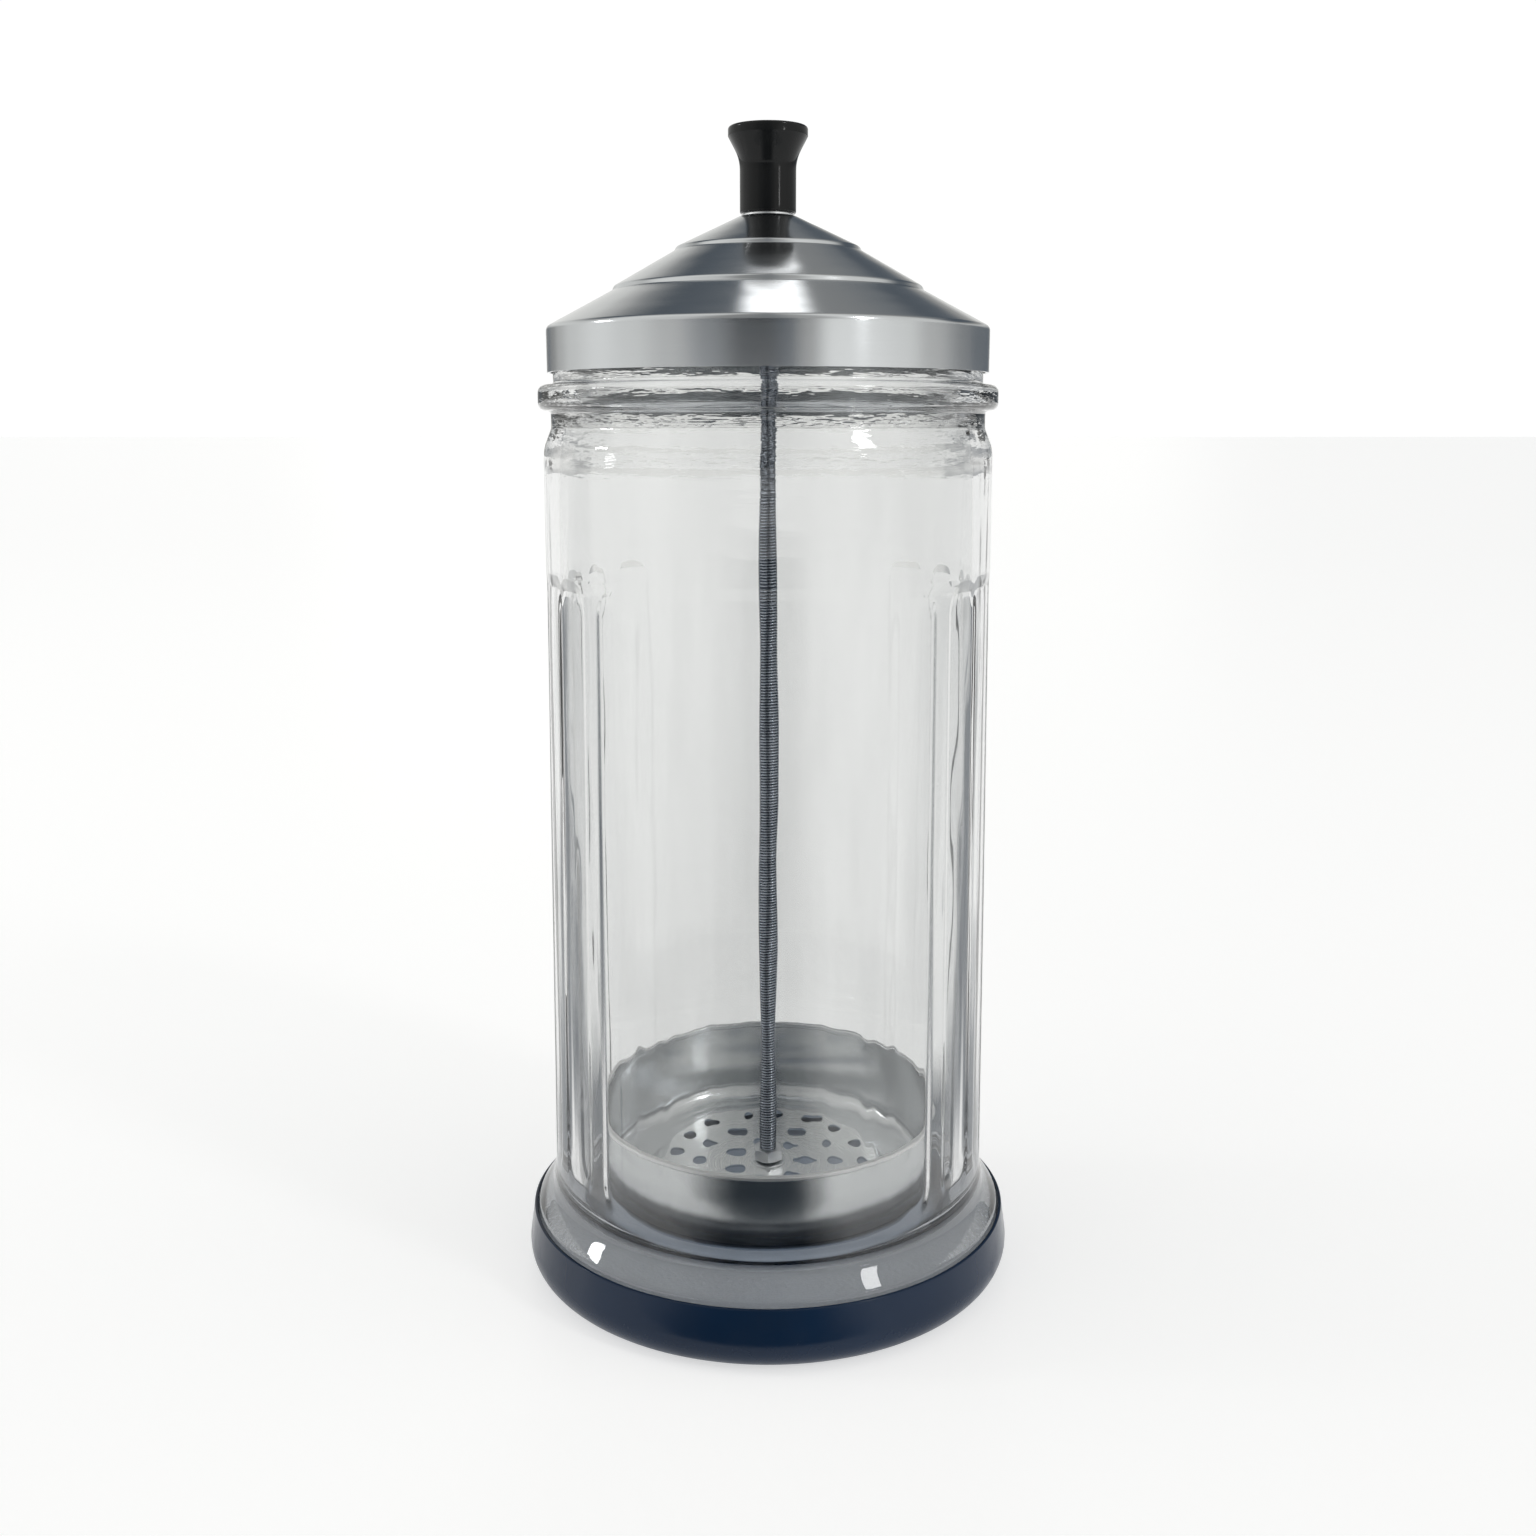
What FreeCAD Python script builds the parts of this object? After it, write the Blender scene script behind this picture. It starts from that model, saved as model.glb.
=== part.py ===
"""Glass disinfectant jar for salon combs and scissors, with a stepped metal lid and a lift-out basket.

A pressed-glass jar stands in a soft blue boot. A stepped cone lid covers its neck. A threaded rod hangs
through the lid: a knob screws onto its top and a perforated basket is clamped to its foot, so lifting the
knob lifts the lid, the rod and the basket out together. The rod also turns in the lid's bush.

Millimetres. +Z is up, the origin is the centre of the standing face, and every round part is turned
about the Z axis. Each piece is written to parts/NAME.step.
"""

import FreeCAD
import Part
import math
import os

Vector = FreeCAD.Vector

# ---- boot: soft moulded ring round the glass foot ------------------------------------------------
BOOT_R = 61.15
BOOT_HEIGHT = 15.6
BOOT_FLANGE = 3.0
BOOT_OPEN_R = 46.8
BOOT_CORNER = 6.4
BOOT_WIDEST = 7.4
BOOT_LIP_R = 59.95
BOOT_LIP_WALL = 0.8
BOOT_GAP = 0.15

# ---- glass jar -------------------------------------------------------------------------------------
FOOT_R = 58.8
FOOT_CORNER = 3.5
FOOT_TOP = 16.6
FOOT_RECESS_R = 44.0
FOOT_RECESS_DEPTH = 2.2
FLARE_TOP = 27.0
BODY_R_LOW = 54.1
BODY_R_HIGH = 52.5
PLAIN_STEP = 0.15
LEDGE_LOW = 173.0
LEDGE_HIGH = 176.0
SHOULDER = 204.0
GROOVE_R = 50.6
GROOVE_HEIGHT = 210.2
BEAD_R = 53.5
BEAD_LOW = 212.6
BEAD_HIGH = 218.4
BEAD_ROUND = 1.8
NECK_R = 49.9
MOUTH_R = 45.2
RIM_HEIGHT = 230.7
CAVITY_R = 48.4
CAVITY_SHOULDER = 200.0
MOUTH_LOW = 216.0
CAVITY_FLOOR = 17.0
CAVITY_CORNER = 7.0

PANELS = 19
PANEL_HALF = 7.0
PANEL_DEPTH = 0.18
PANEL_FLANK = 2.0
PANEL_LOW = 28.0
PANEL_HIGH = 175.5
PANEL_TURN = -0.5

# ---- lid: one spun sheet, three cone stages above a straight skirt -----------------------------------
SHEET = 0.8
SKIRT_R = 51.2
SKIRT_LOW = 221.1
SHOULDER_HIGH = 231.23
STAGE_2_R = 36.0
STAGE_2_HEIGHT = 239.35
STAGE_1_R = 21.6
STAGE_1_HEIGHT = 248.3
STEP_RISE = 1.0
STEP_RUN = 0.4
CREST_R = 6.5
CREST_ROUND = 1.6
TOP_HEIGHT = 256.05
LID_HOLE_R = 3.6

# ---- rod, bush and knob ------------------------------------------------------------------------------
ROD_R = 2.2
ROD_LOW = 19.8
ROD_HIGH = 267.0
BUSH_BORE_R = 2.28
BUSH_R = 3.5
BUSH_FLANGE_R = 5.6
BUSH_FLANGE = 0.7
BUSH_GAP = 0.3
KNOB_WASHER_R = 5.65
KNOB_WASHER_LOW = 256.15
THREAD_GAP = 0.04

KNOB_STEM_R = 6.45
KNOB_CAP_R = 9.1
KNOB_LOW = 256.65
KNOB_CAP_LOW = 273.4
KNOB_HIGH = 275.7
INSERT_R = 3.8
INSERT_LOW = 257.4
INSERT_HIGH = 268.2
INSERT_GAP = 0.05

NUT_FLATS = 7.0
NUT_HEIGHT = 3.0
JAM_NUT_HEIGHT = 2.0
WASHER_R = 4.5
WASHER = 0.5

# ---- basket: drawn pan with a raised, perforated middle ------------------------------------------------
PAN_SHEET = 0.6
PAN_R = 42.1
PAN_HEM_R = 42.5
PAN_HEM = 1.2
PAN_LOW = 20.2
PAN_HIGH = 43.2
PAN_CORNER = 6.0
PAN_FLOOR_HIGH = 23.8
PAN_TROUGH_R = 31.6
PAN_RAISED_R = 29.4
PAN_LEAN = 3.5
PAN_BORE_R = 2.45
HOLE_R = 2.1
HOLE_RINGS = ((9.7, 7), (17.3, 12), (24.9, 17))


def corner_points(before, corner, after, radius):
    """The start, middle and end of the arc that rounds a corner of an outline."""
    a = Vector(before[0] - corner[0], 0, before[1] - corner[1]).normalize()
    b = Vector(after[0] - corner[0], 0, after[1] - corner[1]).normalize()
    point = Vector(corner[0], 0, corner[1])
    half = math.acos(max(-1.0, min(1.0, a.dot(b)))) / 2
    reach = radius / math.tan(half)
    centre = point + (a + b).normalize() * (radius / math.sin(half))
    middle = centre + (point - centre).normalize() * radius
    return point + a * reach, middle, point + b * reach


def outline(corners):
    """A closed wire in the XZ plane through (r, z) or (r, z, rounding radius) corners."""
    ends = []
    for i, corner in enumerate(corners):
        if len(corner) == 3:
            before = corners[i - 1]
            after = corners[(i + 1) % len(corners)]
            ends.append(corner_points(before, corner, after, corner[2]))
        else:
            ends.append((Vector(corner[0], 0, corner[1]),))
    edges = []
    for i, here in enumerate(ends):
        if len(here) == 3:
            edges.append(Part.Arc(*here).toShape())
        start = here[-1]
        stop = ends[(i + 1) % len(ends)][0]
        if (stop - start).Length > 1e-6:
            edges.append(Part.LineSegment(start, stop).toShape())
    return Part.Wire(edges)


def turned(corners):
    """A solid turned about the Z axis from an outline of (r, z[, radius]) corners."""
    face = Part.Face(outline(corners))
    return face.revolve(Vector(0, 0, 0), Vector(0, 0, 1), 360)


def sheet_metal(profile, thickness):
    """Corners of a thin sheet: the given open profile and the same profile moved to its left side."""
    inner = []
    for i, corner in enumerate(profile):
        here = Vector(corner[0], 0, corner[1])
        normals = []
        for j in (i - 1, i):
            if 0 <= j < len(profile) - 1:
                run = Vector(profile[j + 1][0] - profile[j][0], 0, profile[j + 1][1] - profile[j][1])
                run.normalize()
                normals.append(Vector(-run.z, 0, run.x))
        mitre = sum(normals, Vector()).normalize()
        moved = here + mitre * (thickness / mitre.dot(normals[0]))
        if len(corner) == 3:
            turn = normals[0].cross(normals[1]).y
            radius = corner[2] + (thickness if turn > 0 else -thickness)
            inner.append((moved.x, moved.z, radius))
        else:
            inner.append((moved.x, moved.z))
    return list(profile) + inner[::-1]


def ring(inner_r, outer_r, low, high, round_over=0.0):
    """A flat ring or tube, its outer edges rounded if asked."""
    edge = (round_over,) if round_over else ()
    return turned([(inner_r, low), (outer_r, low) + edge, (outer_r, high) + edge, (inner_r, high)])


def hex_nut(low, height, bore_r):
    """A hexagon nut with both faces chamfered round its corners."""
    corner_r = NUT_FLATS / math.sqrt(3)
    points = []
    for i in range(7):
        angle = math.radians(60 * i + 30)
        points.append(Vector(corner_r * math.cos(angle), corner_r * math.sin(angle), low))
    prism = Part.Face(Part.makePolygon(points)).extrude(Vector(0, 0, height))
    chamfer = (corner_r - NUT_FLATS / 2) * 0.6
    face_r = NUT_FLATS / 2 - 0.1
    blank = turned([
        (bore_r, low), (face_r, low), (corner_r + 0.1, low + chamfer),
        (corner_r + 0.1, low + height - chamfer), (face_r, low + height), (bore_r, low + height),
    ])
    return prism.common(blank)


def base_boot():
    """A ring round the foot: its wall grips the glass and its flange carries it."""
    inner_r = FOOT_R + BOOT_GAP
    return turned([
        (BOOT_OPEN_R, 0, 0.6), (BOOT_R, 0, BOOT_CORNER), (BOOT_R, BOOT_WIDEST, 9.0), (BOOT_LIP_R, BOOT_HEIGHT, 0.35),
        (BOOT_LIP_R - BOOT_LIP_WALL, BOOT_HEIGHT, 0.3), (inner_r, BOOT_HEIGHT - 2.4),
        (inner_r, BOOT_FLANGE, FOOT_CORNER - BOOT_GAP), (BOOT_OPEN_R, BOOT_FLANGE, 0.6),
    ])


def panel_half_section(z):
    """Half of a sunk panel's cross-section: a floor parallel to the wall, and a slanting flank."""
    floor_r = BODY_R_LOW - PANEL_DEPTH
    beyond = BODY_R_LOW + 2.0
    floor_end = (PANEL_HALF - PANEL_FLANK) / BODY_R_LOW
    flank_end = PANEL_HALF / BODY_R_LOW

    def at(r, angle):
        return Vector(r * math.cos(angle), r * math.sin(angle), z)

    edge = at(BODY_R_LOW, flank_end)
    floor = Part.Arc(at(floor_r, 0), at(floor_r, floor_end / 2), at(floor_r, floor_end)).toShape()
    rest = Part.makePolygon([at(floor_r, floor_end), edge, Vector(beyond, edge.y, z), at(beyond, 0), at(floor_r, 0)])
    return Part.Face(Part.Wire([floor] + rest.Edges))


def panel_cutter(index):
    """One sunk panel with a half-round arch at each end, following the wall's taper."""
    low = PANEL_LOW + PANEL_HALF
    high = PANEL_HIGH - PANEL_HALF
    taper = (BODY_R_HIGH - BODY_R_LOW) / (LEDGE_LOW - FLARE_TOP)
    run = Vector(taper * (high - low), 0, high - low)
    half = panel_half_section(low)
    start = Vector(taper * (low - FLARE_TOP), 0, 0)
    bar = half.extrude(run)
    mirrored = bar.mirror(Vector(0, 0, 0), Vector(0, 1, 0))
    bottom = half.revolve(Vector(0, 0, low), Vector(1, 0, 0), -180)
    top = half.revolve(Vector(0, 0, low), Vector(1, 0, 0), 180)
    top.translate(run)
    cutter = bar.fuse([mirrored, bottom, top])
    cutter.translate(start)
    cutter.rotate(Vector(0, 0, 0), Vector(0, 0, 1), 360 / PANELS * index + PANEL_TURN - 90)
    return cutter


def glass_jar():
    foot = BOOT_FLANGE
    plain_r = BODY_R_HIGH + PLAIN_STEP
    body = turned([
        (0, foot + FOOT_RECESS_DEPTH), (FOOT_RECESS_R, foot + FOOT_RECESS_DEPTH, 2.0),
        (FOOT_RECESS_R + 3.5, foot, 1.0), (FOOT_R, foot, FOOT_CORNER), (FOOT_R, FOOT_TOP, 2.4),
        (BODY_R_LOW + 1.0, 21.6, 4.0), (BODY_R_LOW, FLARE_TOP, 8.0), (BODY_R_HIGH, LEDGE_LOW, 3.0),
        (plain_r, LEDGE_HIGH, 3.0), (plain_r - 0.15, SHOULDER, 10.0), (GROOVE_R, GROOVE_HEIGHT - 1.6, 2.4),
        (GROOVE_R, BEAD_LOW, 0.8), (BEAD_R, BEAD_LOW, BEAD_ROUND), (BEAD_R, BEAD_HIGH, BEAD_ROUND),
        (NECK_R, BEAD_HIGH, 0.8), (NECK_R, RIM_HEIGHT, 2.2), (MOUTH_R, RIM_HEIGHT, 2.2),
        (MOUTH_R, MOUTH_LOW, 14.0), (CAVITY_R, CAVITY_SHOULDER, 14.0),
        (CAVITY_R, CAVITY_FLOOR, CAVITY_CORNER), (0, CAVITY_FLOOR),
    ])
    return body.cut(Part.makeCompound([panel_cutter(i) for i in range(PANELS)]))


def lid_shell():
    profile = [
        (SKIRT_R, SKIRT_LOW), (SKIRT_R, SHOULDER_HIGH, 1.4),
        (STAGE_2_R, STAGE_2_HEIGHT, 0.3), (STAGE_2_R - STEP_RUN, STAGE_2_HEIGHT + STEP_RISE, 1.1),
        (STAGE_1_R, STAGE_1_HEIGHT, 0.3), (STAGE_1_R - STEP_RUN, STAGE_1_HEIGHT + STEP_RISE * 0.85, 1.1),
        (CREST_R, TOP_HEIGHT, CREST_ROUND), (LID_HOLE_R, TOP_HEIGHT),
    ]
    return turned(sheet_metal(profile, SHEET))


def lid_bush():
    """Nylon bush: its barrel fills the lid's hole and its flange bears on the underside."""
    under = TOP_HEIGHT - SHEET
    return turned([
        (BUSH_BORE_R, under - BUSH_FLANGE), (BUSH_FLANGE_R, under - BUSH_FLANGE, 0.25),
        (BUSH_FLANGE_R, under), (BUSH_R, under), (BUSH_R, TOP_HEIGHT), (BUSH_BORE_R, TOP_HEIGHT),
    ])


def lift_rod():
    chamfer = 0.4
    return turned([
        (0, ROD_LOW), (ROD_R - chamfer, ROD_LOW), (ROD_R, ROD_LOW + chamfer),
        (ROD_R, ROD_HIGH - chamfer), (ROD_R - chamfer, ROD_HIGH), (0, ROD_HIGH),
    ])


def knob():
    bore_r = INSERT_R + INSERT_GAP
    return turned([
        (ROD_R + 0.4, KNOB_LOW), (KNOB_STEM_R, KNOB_LOW, 0.4), (KNOB_STEM_R, 268.5, 9.0),
        (KNOB_CAP_R, KNOB_CAP_LOW, 0.25), (KNOB_CAP_R, KNOB_HIGH - 0.2, 0.7), (0, KNOB_HIGH),
        (0, INSERT_HIGH + INSERT_GAP), (bore_r, INSERT_HIGH + INSERT_GAP),
        (bore_r, INSERT_LOW - INSERT_GAP), (ROD_R + 0.4, INSERT_LOW - INSERT_GAP),
    ])


def knob_insert():
    """Brass insert moulded into the knob, with a knurl groove round its middle."""
    middle = (INSERT_LOW + INSERT_HIGH) / 2
    bore_r = ROD_R + THREAD_GAP
    return turned([
        (bore_r, INSERT_LOW), (INSERT_R, INSERT_LOW), (INSERT_R, middle - 0.8), (INSERT_R - 0.5, middle - 0.5),
        (INSERT_R - 0.5, middle + 0.5), (INSERT_R, middle + 0.8), (INSERT_R, INSERT_HIGH), (bore_r, INSERT_HIGH),
    ])


def knob_washer():
    return ring(ROD_R + THREAD_GAP, KNOB_WASHER_R, KNOB_WASHER_LOW, KNOB_LOW, 0.12)


def leaning(shape):
    """The same shape, leaning back about the middle of the pan's floor where the rod passes through."""
    shape.rotate(Vector(0, 0, PAN_FLOOR_HIGH - PAN_SHEET / 2), Vector(1, 0, 0), PAN_LEAN)
    return shape


def under_lid_stack():
    """Washer, nut and jam nut that keep the lid on the rod, from the top down."""
    washer_high = TOP_HEIGHT - SHEET - BUSH_FLANGE - BUSH_GAP
    nut_high = washer_high - WASHER
    jam_high = nut_high - NUT_HEIGHT
    bore_r = ROD_R + THREAD_GAP
    return {
        "lid_washer": ring(bore_r, WASHER_R, nut_high, washer_high, 0.12),
        "lid_nut": hex_nut(nut_high - NUT_HEIGHT, NUT_HEIGHT, bore_r),
        "lid_lock_nut": hex_nut(jam_high - JAM_NUT_HEIGHT, JAM_NUT_HEIGHT, bore_r),
    }


def basket_stack():
    """Nuts and washers that hold the pan's middle: the washers lean with it and the nuts stay square."""
    above = PAN_FLOOR_HIGH
    below = PAN_FLOOR_HIGH - PAN_SHEET
    bore_r = ROD_R + THREAD_GAP
    lean_rise = WASHER_R * math.sin(math.radians(PAN_LEAN))
    nut_low = above + WASHER + lean_rise
    jam_high = below - WASHER - lean_rise
    return {
        "basket_top_washer": leaning(ring(PAN_BORE_R, WASHER_R, above, above + WASHER, 0.12)),
        "basket_top_nut": hex_nut(nut_low, NUT_HEIGHT, bore_r),
        "basket_bottom_washer": leaning(ring(PAN_BORE_R, WASHER_R, below - WASHER, below, 0.12)),
        "basket_bottom_nut": hex_nut(jam_high - JAM_NUT_HEIGHT, JAM_NUT_HEIGHT, bore_r),
    }


def basket():
    wall_high = PAN_HIGH - PAN_HEM / 2
    profile = [
        (PAN_R, wall_high), (PAN_R, PAN_LOW, PAN_CORNER), (PAN_TROUGH_R, PAN_LOW, 1.2),
        (PAN_RAISED_R, PAN_FLOOR_HIGH - PAN_SHEET, 0.6), (PAN_BORE_R, PAN_FLOOR_HIGH - PAN_SHEET),
    ]
    sheet = sheet_metal([(r, z, *rest) for r, z, *rest in profile[::-1]], PAN_SHEET)
    pan = turned(sheet)
    hem = ring(PAN_R - PAN_SHEET - 0.1, PAN_HEM_R, PAN_HIGH - PAN_HEM, PAN_HIGH, PAN_HEM * 0.3)
    pan = pan.fuse(hem).removeSplitter()
    drills = []
    for ring_r, count in HOLE_RINGS:
        for i in range(count):
            angle = 2 * math.pi * i / count
            place = Vector(ring_r * math.cos(angle), ring_r * math.sin(angle), PAN_LOW)
            drills.append(Part.makeCylinder(HOLE_R, PAN_FLOOR_HIGH - PAN_LOW + 1, place))
    return leaning(pan.cut(Part.makeCompound(drills)))


def main():
    os.makedirs("parts", exist_ok=True)
    pieces = {
        "base_boot": base_boot(),
        "glass_jar": glass_jar(),
        "lid_shell": lid_shell(),
        "lid_bush": lid_bush(),
        "lift_rod": lift_rod(),
        "knob": knob(),
        "knob_insert": knob_insert(),
        "knob_washer": knob_washer(),
        "basket": basket(),
        **under_lid_stack(),
        **basket_stack(),
    }
    for name, shape in pieces.items():
        box = shape.BoundBox
        print(f"{name:22s} valid={shape.isValid()} solids={len(shape.Solids)} "
              f"volume={shape.Volume:10.1f} z={box.ZMin:.2f}..{box.ZMax:.2f} r={box.XMax:.2f}")
        shape.exportStep(f"parts/{name}.step")


main()
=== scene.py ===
"""Looks of the disinfectant jar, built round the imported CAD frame.

Profiles are written in millimetres as (r, z) corners with an optional rounding radius, like the CAD's.
"""

import math

import bpy
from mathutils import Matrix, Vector, noise


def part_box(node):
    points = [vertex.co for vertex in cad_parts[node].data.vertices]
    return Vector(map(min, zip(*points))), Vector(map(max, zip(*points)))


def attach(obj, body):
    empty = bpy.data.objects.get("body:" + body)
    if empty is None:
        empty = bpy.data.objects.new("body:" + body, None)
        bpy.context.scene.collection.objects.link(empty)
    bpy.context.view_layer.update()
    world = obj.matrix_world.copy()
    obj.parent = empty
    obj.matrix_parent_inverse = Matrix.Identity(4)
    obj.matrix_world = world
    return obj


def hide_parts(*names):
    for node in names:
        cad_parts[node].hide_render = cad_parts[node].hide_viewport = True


MM = 0.001
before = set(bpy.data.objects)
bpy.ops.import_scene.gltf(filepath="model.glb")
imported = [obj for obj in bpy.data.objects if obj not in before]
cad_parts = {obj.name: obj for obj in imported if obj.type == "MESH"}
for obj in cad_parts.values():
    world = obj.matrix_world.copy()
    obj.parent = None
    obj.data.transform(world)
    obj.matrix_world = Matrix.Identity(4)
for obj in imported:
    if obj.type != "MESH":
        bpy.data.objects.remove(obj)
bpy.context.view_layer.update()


# ---- places read from the frame (millimetres) --------------------------------------------------------
def span(node):
    """A node's outer radius, lowest z and highest z in millimetres."""
    low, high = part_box(node)
    return high[0] / MM, low[2] / MM, high[2] / MM


BOOT_R, _, BOOT_HIGH = span("base_boot")
FOOT_R, FOOT_LOW, RIM_HIGH = span("glass_jar")
SKIRT_R, SKIRT_LOW, LID_TOP = span("lid_shell")
KNOB_R, KNOB_LOW, KNOB_HIGH = span("knob")
ROD_R, ROD_LOW, ROD_HIGH = span("lift_rod")
PAN_R = span("basket")[0]
WASHER_R, WASHER_LOW, WASHER_HIGH = span("knob_washer")

# ---- dimensions that the frame's boxes don't give (millimetres) --------------------------------------
BOOT_OPEN_R = 46.8
BOOT_FLANGE = 3.0
BOOT_CORNER = 6.4
BOOT_WIDEST = 7.4
BOOT_BULGE = 9.0
BOOT_LIP_R = 59.95
BOOT_LIP_WALL = 0.8
BOOT_LIP_DEPTH = 2.4
BOOT_EDGE = 0.6
BOOT_GAP = 0.15
BOOT_WAVE = 0.05
BOOT_WAVE_FROM_Z = 1.5
BOOT_WAVE_FROM_R = 50.0

FOOT_CORNER = 3.5
FOOT_TOP = 16.6
FOOT_RECESS_R = 44.0
FOOT_RECESS_DEPTH = 2.2
FOOT_RECESS_RUN = 3.5
FLARE_MIDDLE = 21.6
FLARE_MIDDLE_OUT = 1.0
FLARE_TOP = 27.0
BODY_R_LOW = 54.1
BODY_R_HIGH = 52.5
PLAIN_STEP = 0.15
PLAIN_TAPER = 0.15
LEDGE_LOW = 173.0
LEDGE_HIGH = 176.0
SHOULDER = 204.0
GROOVE_R = 50.6
GROOVE_LOW = 208.6
BEAD_R = 53.5
BEAD_LOW = 212.6
BEAD_HIGH = 218.4
BEAD_ROUND = 1.8
NECK_R = 49.9
RIM_ROUND = 2.2
MOUTH_R = 45.2
MOUTH_LOW = 216.0
MOUTH_BLEND = 14.0
CAVITY_R = 48.4
CAVITY_SHOULDER = 200.0
CAVITY_FLOOR = 17.0
CAVITY_CORNER = 7.0
GLASS_WAVE = 0.04

SHEET = 0.8
SKIRT_HIGH = 231.23
STAGE_2_R = 36.0
STAGE_2_HIGH = 239.35
STAGE_1_R = 21.6
STAGE_1_HIGH = 248.3
STEP_RUN = 0.4
STEP_2_RISE = 1.0
STEP_1_RISE = 0.85
CREST_R = 6.5
CREST_ROUND = 1.6
LID_HOLE_R = 3.6
LID_WAVE = 0.035

KNOB_STEM_R = 6.45
KNOB_WAIST = 268.5
KNOB_CAP_LOW = 273.4
KNOB_CROWN = 0.2
KNOB_BORE_R = 3.85
KNOB_BORE_LOW = 257.35
KNOB_BORE_HIGH = 268.25
KNOB_MOUTH_GAP = 0.4
WASHER_GAP = 0.04
WASHER_EDGE = 0.12
THREAD_PITCH = 0.7
THREAD_DEPTH = 0.24
ROD_CHAMFER = 0.4

PAN_LOW = 20.2
PAN_HIGH = 43.2
PAN_SHEET = 0.6
PAN_CORNER = 6.0
PAN_LEAN = math.radians(3.5)
PAN_BORE_R = 2.45
PAN_HEM = 0.4
PAN_HEM_FOLD = 1.3
PAN_TROUGH_R = 31.6
PAN_RAISED_R = 29.4
FLOOR_HIGH = 23.8
FLOOR_R = 28.4
HOLE_R = 2.1
HOLE_RINGS = ((9.7, 7), (17.3, 12), (24.9, 17))
# the band on the hem that takes the painted highlight, and the reach of the painted shade on the pan's lower
# outer corner
HEM_BAND = 1.6
HEM_DEPTH = 1.0
PAINTED_SHADE_INSET = 3.0
PAINTED_SHADE_RISE = 5.0


# ---- profiles ----------------------------------------------------------------------------------------
def arc_corner(before, corner, after, radius, step=9.0):
    """Points along the arc that rounds a corner."""
    c = Vector(corner)
    a = (Vector(before) - c).normalized()
    b = (Vector(after) - c).normalized()
    half = a.angle(b) / 2
    centre = c + (a + b).normalized() * (radius / math.sin(half))
    start = c + a * (radius / math.tan(half)) - centre
    end = c + b * (radius / math.tan(half)) - centre
    turn = math.atan2(start.cross(end), start.dot(end))
    count = max(2, math.ceil(abs(math.degrees(turn)) / step))
    points = []
    for i in range(count + 1):
        angle = math.atan2(start.y, start.x) + turn * i / count
        points.append((centre.x + radius * math.cos(angle), centre.y + radius * math.sin(angle)))
    return points


def rounded(corners, closed=False, step=9.0):
    """The polyline through (r, z[, radius]) corners, with its rounded corners drawn as arcs."""
    points = []
    last = len(corners) - 1
    for i, corner in enumerate(corners):
        inside = closed or 0 < i < last
        if len(corner) == 3 and inside:
            before = corners[i - 1][:2]
            after = corners[(i + 1) % len(corners)][:2]
            points += arc_corner(before, corner[:2], after, corner[2], step)
        else:
            points.append(tuple(corner[:2]))
    return points


def divided(points, longest, closed=False):
    """The same polyline with extra points, so that no run is longer than that."""
    result = []
    count = len(points) if closed else len(points) - 1
    for i in range(count):
        a = Vector(points[i])
        b = Vector(points[(i + 1) % len(points)])
        parts = max(1, math.ceil((b - a).length / longest))
        result += [tuple(a.lerp(b, k / parts)) for k in range(parts)]
    if not closed:
        result.append(points[-1])
    return result


def sheet_profile(profile, thickness):
    """A closed outline: an open profile, and the same profile moved to its left by the thickness."""
    inner = []
    for i, corner in enumerate(profile):
        normals = []
        for j in (i - 1, i):
            if 0 <= j < len(profile) - 1:
                run = (Vector(profile[j + 1][:2]) - Vector(profile[j][:2])).normalized()
                normals.append(Vector((-run.y, run.x)))
        mitre = sum(normals, Vector((0, 0))).normalized()
        moved = Vector(corner[:2]) + mitre * (thickness / mitre.dot(normals[0]))
        if len(corner) == 3:
            turn = normals[0].cross(normals[-1])
            radius = max(0.05, corner[2] + (-thickness if turn > 0 else thickness))
            inner.append((moved.x, moved.y, radius))
        else:
            inner.append((moved.x, moved.y))
    return list(profile) + inner[::-1]


# ---- meshes ------------------------------------------------------------------------------------------
def lathe(points, segments, closed=False, shape=None):
    """Vertices and faces turned about Z. shape(r, z, angle, i) may move a point before it is placed."""
    verts = []
    rings = []
    for i, (r, z) in enumerate(points):
        if r < 1e-6:
            rings.append([len(verts)])
            verts.append((0, 0, z * MM))
            continue
        ring = []
        for j in range(segments):
            angle = 2 * math.pi * j / segments
            rr, zz = shape(r, z, angle, i) if shape else (r, z)
            ring.append(len(verts))
            verts.append((rr * math.sin(angle) * MM, -rr * math.cos(angle) * MM, zz * MM))
        rings.append(ring)
    faces = []
    pairs = len(rings) if closed else len(rings) - 1
    for i in range(pairs):
        a = rings[i]
        b = rings[(i + 1) % len(rings)]
        for j in range(segments):
            k = (j + 1) % segments
            if len(a) == 1 and len(b) == 1:
                continue
            if len(a) == 1:
                faces.append((a[0], b[k], b[j]))
            elif len(b) == 1:
                faces.append((a[j], a[k], b[0]))
            else:
                faces.append((a[j], a[k], b[k], b[j]))
    return verts, faces


def add_mesh(name, verts, faces, material, body, replaced, sharp=35.0, weighted=True):
    """A shown piece: it rides on its body and stands for the CAD nodes it replaces."""
    mesh = bpy.data.meshes.new(name)
    mesh.from_pydata(verts, [], faces)
    mesh.validate()
    mesh.shade_smooth()
    mesh.set_sharp_from_angle(angle=math.radians(sharp))
    obj = bpy.data.objects.new(name, mesh)
    bpy.context.collection.objects.link(obj)
    mesh.materials.append(material)
    if weighted:
        even = obj.modifiers.new("even_normals", "WEIGHTED_NORMAL")
        even.keep_sharp = True
    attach(obj, body)
    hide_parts(*replaced)
    return obj


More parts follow.
